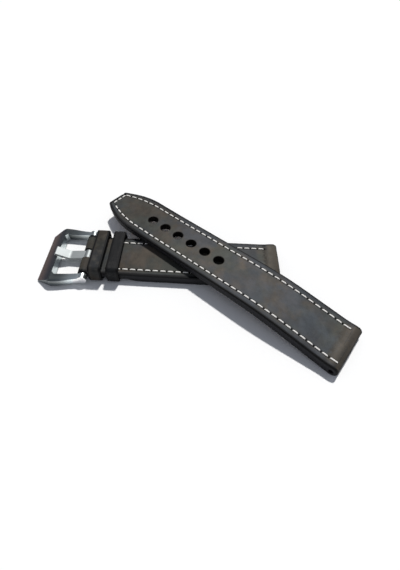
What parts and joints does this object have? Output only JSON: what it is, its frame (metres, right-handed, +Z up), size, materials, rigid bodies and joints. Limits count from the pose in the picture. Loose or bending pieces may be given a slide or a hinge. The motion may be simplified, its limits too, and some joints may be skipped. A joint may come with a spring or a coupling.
{
  "type": "leather watch strap",
  "caption": "Two-piece stitched leather watch strap: short piece with pin buckle and two keepers, long holed piece with a pointed tail lying across it.",
  "frame": {"origin": "middle of the strap's box, as it lies, on the table", "axes": "+X from the buckle along the short piece to its lug end, +Y across the short piece, +Z up"},
  "size_m": [0.1288, 0.0866, 0.0086],
  "materials": {
    "outer_leather": "matt, mottled",
    "lining_leather": "smooth, matt",
    "filler_leather": "edge painted",
    "thread": "waxed thread",
    "satin_steel": "satin, bevels polished",
    "polished_steel": "polished",
    "bar_steel": "drawn"
  },
  "bodies": {
    "short_strap": {"short_outer_leather": "outer_leather", "short_lining_leather": "lining_leather", "short_filler": "filler_leather", "short_near_stitching": "thread", "short_far_stitching": "thread", "fixed_keeper": "outer_leather", "fixed_keeper_stitches": "thread", "spring_bar_tube": "bar_steel", "spring_bar_coil": "bar_steel"},
    "floating_keeper": {"floating_keeper": "outer_leather", "floating_keeper_stitches": "thread"},
    "buckle_frame": {"buckle_frame": "satin_steel"},
    "buckle_tongue": {"buckle_tongue": "polished_steel"},
    "tip_near": {"spring_bar_tip_near": "bar_steel"},
    "tip_far": {"spring_bar_tip_far": "bar_steel"},
    "long_strap": {"long_outer_leather": "outer_leather", "long_lining_leather": "lining_leather", "long_filler": "filler_leather", "long_near_stitching": "thread", "long_far_stitching": "thread", "long_tail_stitching": "thread"}
  },
  "joints": [
    {"name": "frame_swing", "type": "hinge", "parent": "short_strap", "child": "buckle_frame", "pos_m": [-0.04574, 0.00549, 0.0029], "axis": [0, 1, 0], "range_deg": [-75, 25]},
    {"name": "tongue_swing", "type": "hinge", "parent": "buckle_frame", "child": "buckle_tongue", "pos_m": [-0.04574, 0.00549, 0.0029], "axis": [0, 1, 0], "range_deg": [0, 70]},
    {"name": "floating_keeper_slide", "type": "slide", "parent": "short_strap", "child": "floating_keeper", "axis": [1, 0, 0], "range_m": [-0.0016, 0.0022]},
    {"name": "tip_near_press", "type": "slide", "parent": "short_strap", "child": "tip_near", "axis": [0, 1, 0], "range_m": [0, 0.0011], "stiffness_N_per_m": 400},
    {"name": "tip_far_press", "type": "slide", "parent": "short_strap", "child": "tip_far", "axis": [0, -1, 0], "range_m": [0, 0.0011], "stiffness_N_per_m": 400},
    {"name": "long_strap_lift", "type": "slide", "parent": "short_strap", "child": "long_strap", "axis": [0, 0, 1], "range_m": [0, 0.05]}
  ]
}
